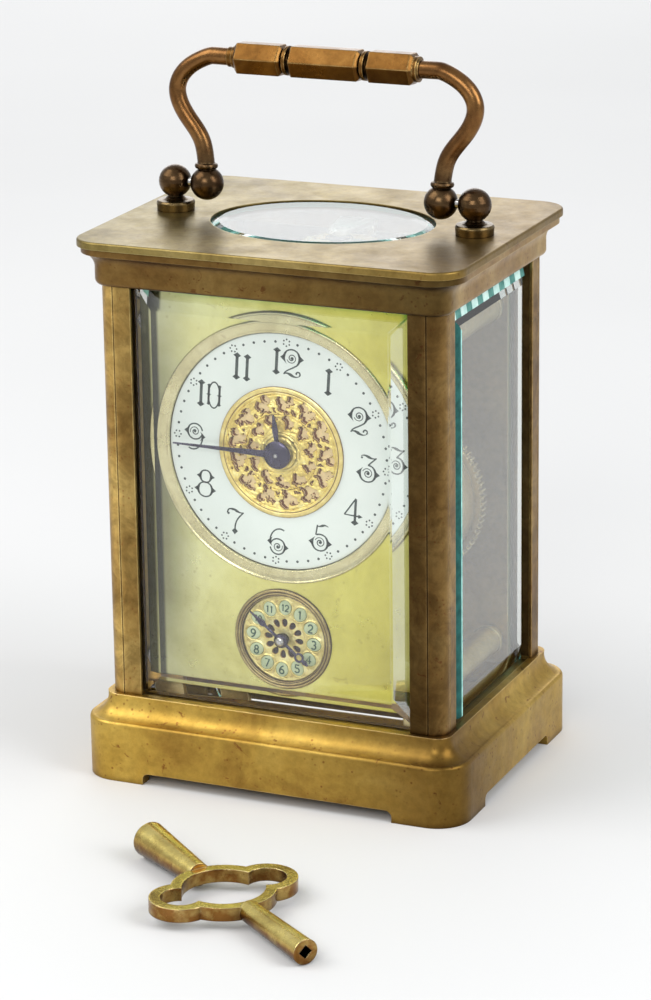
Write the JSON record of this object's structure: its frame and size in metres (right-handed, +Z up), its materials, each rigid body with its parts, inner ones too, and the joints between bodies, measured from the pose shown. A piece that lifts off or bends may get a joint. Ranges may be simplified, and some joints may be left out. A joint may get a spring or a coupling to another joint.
{
  "type": "travel alarm clock",
  "caption": "Glazed brass carriage clock with an enamel dial, an alarm dial, a folding handle, a hinged back door and a loose winding key.",
  "frame": {"origin": "middle of the base's four feet, on the surface that the clock stands on", "axes": "+X to the right seen from the dial, +Y from the dial to the back door, +Z up"},
  "size_m": [0.082, 0.1338, 0.1451],
  "materials": {
    "base_brass": "aged golden brass, spotted, polished on its edges",
    "column_brass": "brown patinated brass",
    "cornice_brass": "red-brown patinated brass",
    "top_brass": "pale worn satin brass",
    "bronzed_brass": "dark bronze-brown patina, smooth",
    "grip_brass": "orange-gold brass with dark grooves",
    "mask_brass": "pale lacquered brass, finely brushed",
    "polished_brass": "polished brass",
    "movement_brass": "polished and lacquered brass",
    "silvered_brass": "silvered, satin",
    "bell_metal": "nickel-silvered bell metal",
    "gilt": "matt fire gilding",
    "key_brass": "rubbed brass with dark hollows",
    "enamel": "glossy white vitreous enamel",
    "blued_steel": "blued and polished",
    "steel": "polished steel",
    "bevelled_glass": "clear, with polished bevels"
  },
  "bodies": {
    "case": {"base_plinth": "base_brass", "bottom_plate": "base_brass", "column_front_left": "column_brass", "column_front_right": "column_brass", "column_rear_left": "column_brass", "column_rear_right": "column_brass", "cornice_frame": "cornice_brass", "top_plate": "top_brass", "top_glass": "bevelled_glass", "front_glass": "bevelled_glass", "left_glass": "bevelled_glass", "right_glass": "bevelled_glass", "column_screws": "steel", "door_hinge_pins": "steel", "handle_post_left": "bronzed_brass", "handle_post_right": "bronzed_brass", "handle_pivot_screws": "steel", "dial_mask": "mask_brass", "dial_bezel": "polished_brass", "alarm_bezel": "polished_brass", "enamel_dial": "enamel", "gilt_centre": "gilt", "alarm_dial": "gilt", "front_plate": "movement_brass", "back_plate": "movement_brass", "movement_pillars": "movement_brass", "pillar_nuts": "steel", "platform_plate": "silvered_brass", "balance_cock": "silvered_brass", "alarm_bell": "bell_metal"},
    "handle": {"handle_arm_left": "bronzed_brass", "handle_arm_right": "bronzed_brass", "handle_grip": "grip_brass"},
    "rear_door": {"rear_door_frame": "column_brass", "rear_door_glass": "bevelled_glass", "door_knob": "movement_brass"},
    "minute": {"minute_hand": "blued_steel", "cannon_pinion": "steel", "centre_arbor": "steel", "centre_wheel": "movement_brass"},
    "hour": {"hour_hand": "blued_steel", "hour_wheel": "movement_brass"},
    "motion": {"minute_wheel": "movement_brass"},
    "going_barrel": {"time_barrel": "movement_brass"},
    "time_winding": {"time_winding_arbor": "steel", "time_ratchet": "steel"},
    "click": {"time_click": "steel"},
    "third": {"third_wheel": "movement_brass"},
    "contrate": {"contrate_wheel": "movement_brass"},
    "escape": {"escape_wheel": "steel"},
    "lever": {"pallet_lever": "steel"},
    "balance": {"balance_wheel": "gilt", "hairspring": "blued_steel"},
    "alarm_setting": {"alarm_hand": "blued_steel", "alarm_setting_arbor": "steel"},
    "alarm_going_barrel": {"alarm_barrel": "movement_brass"},
    "alarm_winding": {"alarm_winding_arbor": "steel"},
    "alarm_escape": {"alarm_escape_wheel": "steel"},
    "hammer": {"alarm_hammer": "steel"},
    "key": {"winding_key": "key_brass"}
  },
  "joints": [
    {"name": "handle_fold", "type": "hinge", "parent": "case", "child": "handle", "pos_m": [0, 0, 0.1167], "axis": [1, 0, 0], "range_deg": [-87, 96]},
    {"name": "rear_door_swing", "type": "hinge", "parent": "case", "child": "rear_door", "pos_m": [0.0273, 0.0262, 0.0593], "axis": [0, 0, -1], "range_deg": [0, 95]},
    {"name": "minute_turn", "type": "hinge", "parent": "case", "child": "minute", "pos_m": [0, 0, 0.0696], "axis": [0, 1, 0], "continuous": true},
    {"name": "hour_turn", "type": "hinge", "parent": "case", "child": "hour", "pos_m": [0, -0.02, 0.0696], "axis": [0, 1, 0], "continuous": true},
    {"name": "motion_turn", "type": "hinge", "parent": "case", "child": "motion", "pos_m": [-0.006, -0.0185, 0.0696], "axis": [0, 1, 0], "continuous": true},
    {"name": "going_barrel_turn", "type": "hinge", "parent": "case", "child": "going_barrel", "pos_m": [0.013, 0, 0.05531], "axis": [0, 1, 0], "continuous": true},
    {"name": "third_turn", "type": "hinge", "parent": "case", "child": "third", "pos_m": [-0.00916, 0, 0.07876], "axis": [0, 1, 0], "continuous": true},
    {"name": "contrate_turn", "type": "hinge", "parent": "case", "child": "contrate", "pos_m": [0, 0, 0.08524], "axis": [0, 1, 0], "continuous": true},
    {"name": "time_winding_turn", "type": "hinge", "parent": "case", "child": "time_winding", "pos_m": [0.013, 0, 0.05531], "axis": [0, 1, 0], "continuous": true},
    {"name": "click_lift", "type": "hinge", "parent": "case", "child": "click", "pos_m": [0.022, 0.0183, 0.0596], "axis": [0, 1, 0], "range_deg": [0, 12]},
    {"name": "escape_turn", "type": "hinge", "parent": "case", "child": "escape", "pos_m": [0, -0.00395, 0.095], "axis": [0, 0, 1], "continuous": true},
    {"name": "lever_rock", "type": "hinge", "parent": "case", "child": "lever", "pos_m": [0, 0.0022, 0.1], "axis": [0, 0, 1], "range_deg": [-5, 5]},
    {"name": "balance_swing", "type": "hinge", "parent": "case", "child": "balance", "pos_m": [0, 0.008, 0.101], "axis": [0, 0, 1], "range_deg": [-270, 270]},
    {"name": "alarm_setting_turn", "type": "hinge", "parent": "case", "child": "alarm_setting", "pos_m": [0, 0, 0.0312], "axis": [0, 1, 0], "continuous": true},
    {"name": "alarm_barrel_turn", "type": "hinge", "parent": "case", "child": "alarm_going_barrel", "pos_m": [-0.013, 0, 0.04], "axis": [0, 1, 0], "continuous": true},
    {"name": "alarm_escape_turn", "type": "hinge", "parent": "case", "child": "alarm_escape", "pos_m": [-0.01719, 0, 0.0515], "axis": [0, 1, 0], "continuous": true},
    {"name": "alarm_winding_turn", "type": "hinge", "parent": "case", "child": "alarm_winding", "pos_m": [-0.013, 0, 0.04], "axis": [0, 1, 0], "continuous": true},
    {"name": "hammer_strike", "type": "hinge", "parent": "case", "child": "hammer", "pos_m": [-0.0245, 0, 0.058], "axis": [0, 1, 0], "range_deg": [-8, 0]},
    {"name": "key_lift", "type": "slide", "parent": "case", "child": "key", "axis": [0, 0, 1], "range_m": [0, 0.06]}
  ],
  "couplings": [
    {"joint": "hour_turn", "follows": "minute_turn", "ratio": 0.083333},
    {"joint": "motion_turn", "follows": "minute_turn", "ratio": -0.33333},
    {"joint": "going_barrel_turn", "follows": "minute_turn", "ratio": -0.15},
    {"joint": "third_turn", "follows": "minute_turn", "ratio": -8},
    {"joint": "contrate_turn", "follows": "minute_turn", "ratio": 60},
    {"joint": "alarm_escape_turn", "follows": "alarm_barrel_turn", "ratio": -7.5}
  ]
}
